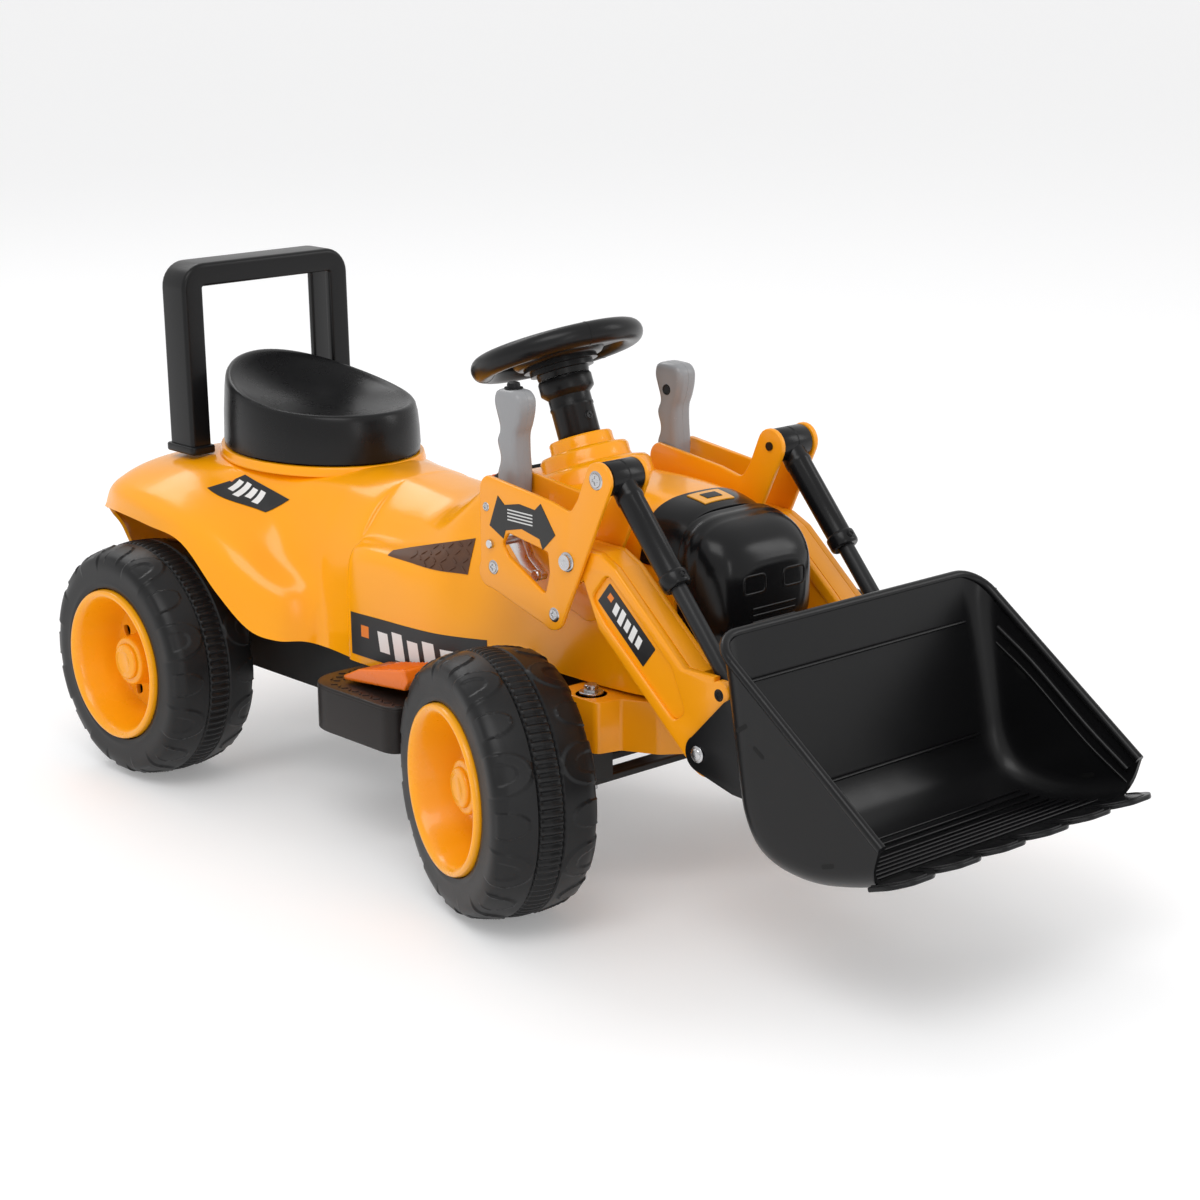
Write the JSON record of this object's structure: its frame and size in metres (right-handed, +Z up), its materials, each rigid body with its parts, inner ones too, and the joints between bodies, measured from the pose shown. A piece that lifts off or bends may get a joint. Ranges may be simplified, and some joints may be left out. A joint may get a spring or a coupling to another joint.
{
  "type": "ride on digger",
  "caption": "Battery ride-on toy loader for a small child: moulded body, saddle seat, steered front wheels, lever-worked front arms with a tilting bucket and a roll bar.",
  "frame": {"origin": "on the ground under the middle of the vehicle's bounding box", "axes": "+Z up, the nose and bucket towards -Y, the driver's left hand towards +X"},
  "size_m": [0.515, 1.132, 0.511],
  "materials": {
    "yellow_shell": "glossy moulded yellow-orange plastic",
    "yellow_wheel": "glossy moulded yellow plastic",
    "orange_plastic": "glossy moulded orange plastic",
    "black_gloss": "glossy moulded black plastic",
    "black_satin": "satin moulded black plastic",
    "tyre_plastic": "hollow blow-moulded black plastic tread",
    "silver_plastic": "silver-grey moulded plastic",
    "steel": "zinc-plated steel",
    "dark_steel": "black painted steel"
  },
  "bodies": {
    "chassis": {"body_shell": "yellow_shell", "nose_grille": "black_gloss", "underbody_tray": "black_satin", "foot_step_right": "black_satin", "foot_step_left": "black_satin", "seat": "black_gloss", "roll_bar": "black_satin", "front_beam": "yellow_shell", "axle_strap": "dark_steel", "kingpin_right": "steel", "kingpin_left": "steel", "rear_axle": "steel", "axle_spacer_right": "black_satin", "axle_spacer_left": "black_satin", "gearbox": "black_satin", "drive_motor": "steel", "battery": "black_satin", "switch_panel": "black_satin", "charging_socket": "black_satin", "bracket_outer_right": "yellow_shell", "bracket_inner_right": "yellow_shell", "bracket_outer_left": "yellow_shell", "bracket_inner_left": "yellow_shell", "arm_pivot_rod": "steel"},
    "steering": {"steering_shaft": "steel", "column_sleeve": "black_gloss", "steering_wheel": "black_gloss"},
    "horn": {"horn_button": "orange_plastic"},
    "knuckle_right": {"steering_knuckle_right": "dark_steel"},
    "knuckle_left": {"steering_knuckle_left": "dark_steel"},
    "track_rod": {"tie_rod": "dark_steel"},
    "front_wheel_right": {"tyre_front_right": "tyre_plastic", "rim_front_right": "yellow_wheel", "hub_cap_front_right": "yellow_wheel"},
    "front_wheel_left": {"tyre_front_left": "tyre_plastic", "rim_front_left": "yellow_wheel", "hub_cap_front_left": "yellow_wheel"},
    "rear_wheel_right": {"tyre_rear_right": "tyre_plastic", "rim_rear_right": "yellow_wheel", "hub_cap_rear_right": "yellow_wheel"},
    "rear_wheel_left": {"tyre_rear_left": "tyre_plastic", "rim_rear_left": "yellow_wheel", "hub_cap_rear_left": "yellow_wheel"},
    "pedal": {"accelerator_pedal": "orange_plastic"},
    "power_rocker": {"power_switch": "orange_plastic"},
    "direction_rocker": {"direction_switch": "black_satin"},
    "loader_arms": {"loader_arm_right": "yellow_shell", "loader_arm_left": "yellow_shell", "arm_cross_tube": "black_satin", "bucket_pivot_rod": "steel"},
    "bucket": {"bucket": "black_gloss"},
    "barrel_right": {"cylinder_barrel_right": "black_gloss"},
    "barrel_left": {"cylinder_barrel_left": "black_gloss"},
    "piston_right": {"cylinder_rod_right": "black_gloss"},
    "piston_left": {"cylinder_rod_left": "black_gloss"},
    "lever_right": {"lever_bar_right": "steel", "lever_grip_right": "silver_plastic"},
    "lever_left": {"lever_bar_left": "steel", "lever_grip_left": "silver_plastic"},
    "thumb_button": {"lever_button": "black_satin"}
  },
  "joints": [
    {"name": "steer_right", "type": "hinge", "parent": "chassis", "child": "knuckle_right", "pos_m": [-0.091, -0.131, 0.12], "axis": [0, 0, 1], "range_deg": [-2, 34]},
    {"name": "steer_left", "type": "hinge", "parent": "chassis", "child": "knuckle_left", "pos_m": [0.091, -0.131, 0.12], "axis": [0, 0, 1], "range_deg": [-2, 34]},
    {"name": "tie_rod_swing", "type": "hinge", "parent": "knuckle_right", "child": "track_rod", "pos_m": [-0.07942, -0.09063, 0.11], "axis": [0, 0, 1], "range_deg": [-34, 2]},
    {"name": "steering_turn", "type": "hinge", "parent": "chassis", "child": "steering", "pos_m": [0, -0.131, 0.107], "axis": [0, 0.3746, 0.9272], "range_deg": [-2, 34]},
    {"name": "horn_press", "type": "slide", "parent": "steering", "child": "horn", "axis": [0, -0.3746, -0.9272], "range_m": [0, 0.0025], "stiffness_N_per_m": 400, "springref_m": -0.001},
    {"name": "front_wheel_right_spin", "type": "hinge", "parent": "knuckle_right", "child": "front_wheel_right", "pos_m": [-0.091, -0.131, 0.12], "axis": [0.9613, -0.2756, 0], "continuous": true},
    {"name": "front_wheel_left_spin", "type": "hinge", "parent": "knuckle_left", "child": "front_wheel_left", "pos_m": [0.091, -0.131, 0.12], "axis": [0.9613, -0.2756, 0], "continuous": true},
    {"name": "rear_wheel_right_spin", "type": "hinge", "parent": "chassis", "child": "rear_wheel_right", "pos_m": [-0.18, 0.446, 0.12], "axis": [1, 0, 0], "continuous": true},
    {"name": "rear_wheel_left_spin", "type": "hinge", "parent": "chassis", "child": "rear_wheel_left", "pos_m": [0.18, 0.446, 0.12], "axis": [1, 0, 0], "continuous": true},
    {"name": "pedal_press", "type": "hinge", "parent": "chassis", "child": "pedal", "pos_m": [-0.1334, 0.155, 0.1545], "axis": [1, 0, 0], "range_deg": [0, 5], "stiffness_Nm_per_rad": 2, "springref_deg": -2.86},
    {"name": "power_rock", "type": "hinge", "parent": "chassis", "child": "power_rocker", "pos_m": [-0.026, 0.0621, 0.3464], "axis": [1, 0, 0], "range_deg": [-6, 6]},
    {"name": "direction_rock", "type": "hinge", "parent": "chassis", "child": "direction_rocker", "pos_m": [0.026, 0.0621, 0.3464], "axis": [1, 0, 0], "range_deg": [-6, 6]},
    {"name": "arm_lift", "type": "hinge", "parent": "chassis", "child": "loader_arms", "pos_m": [0, -0.142, 0.317], "axis": [-1, 0, 0], "range_deg": [-4, 32]},
    {"name": "bucket_tilt", "type": "hinge", "parent": "loader_arms", "child": "bucket", "pos_m": [0, -0.305, 0.181], "axis": [-1, 0, 0], "range_deg": [-33, 15]},
    {"name": "barrel_right_swing", "type": "hinge", "parent": "chassis", "child": "barrel_right", "pos_m": [-0.103, -0.182, 0.395], "axis": [-1, 0, 0], "range_deg": [-6, 30]},
    {"name": "rod_right_slide", "type": "slide", "parent": "barrel_right", "child": "piston_right", "axis": [0, -0.6612, -0.7502], "range_m": [-0.048, 0.01]},
    {"name": "barrel_left_swing", "type": "hinge", "parent": "chassis", "child": "barrel_left", "pos_m": [0.103, -0.182, 0.395], "axis": [-1, 0, 0], "range_deg": [-6, 30]},
    {"name": "rod_left_slide", "type": "slide", "parent": "barrel_left", "child": "piston_left", "axis": [0, -0.6612, -0.7502], "range_m": [-0.048, 0.01]},
    {"name": "lever_right_pull", "type": "hinge", "parent": "chassis", "child": "lever_right", "pos_m": [-0.098, -0.039, 0.315], "axis": [-1, 0, 0], "range_deg": [-4, 20]},
    {"name": "lever_left_pull", "type": "hinge", "parent": "chassis", "child": "lever_left", "pos_m": [0.098, -0.039, 0.315], "axis": [-1, 0, 0], "range_deg": [-20, 10]},
    {"name": "thumb_press", "type": "slide", "parent": "lever_right", "child": "thumb_button", "axis": [0, 0, -1], "range_m": [0, 0.004], "stiffness_N_per_m": 400, "springref_m": -0.001}
  ],
  "couplings": [
    {"joint": "steer_left", "follows": "steer_right", "ratio": 1},
    {"joint": "tie_rod_swing", "follows": "steer_right", "ratio": -1},
    {"joint": "steering_turn", "follows": "steer_right", "ratio": 1},
    {"joint": "barrel_right_swing", "follows": "arm_lift", "ratio": 0.93},
    {"joint": "barrel_left_swing", "follows": "arm_lift", "ratio": 0.93},
    {"joint": "rod_right_slide", "follows": "arm_lift", "m_per_rad": -0.084},
    {"joint": "rod_left_slide", "follows": "arm_lift", "m_per_rad": -0.084},
    {"joint": "lever_right_pull", "follows": "arm_lift", "ratio": 0.6},
    {"joint": "lever_left_pull", "follows": "bucket_tilt", "ratio": 0.6}
  ]
}
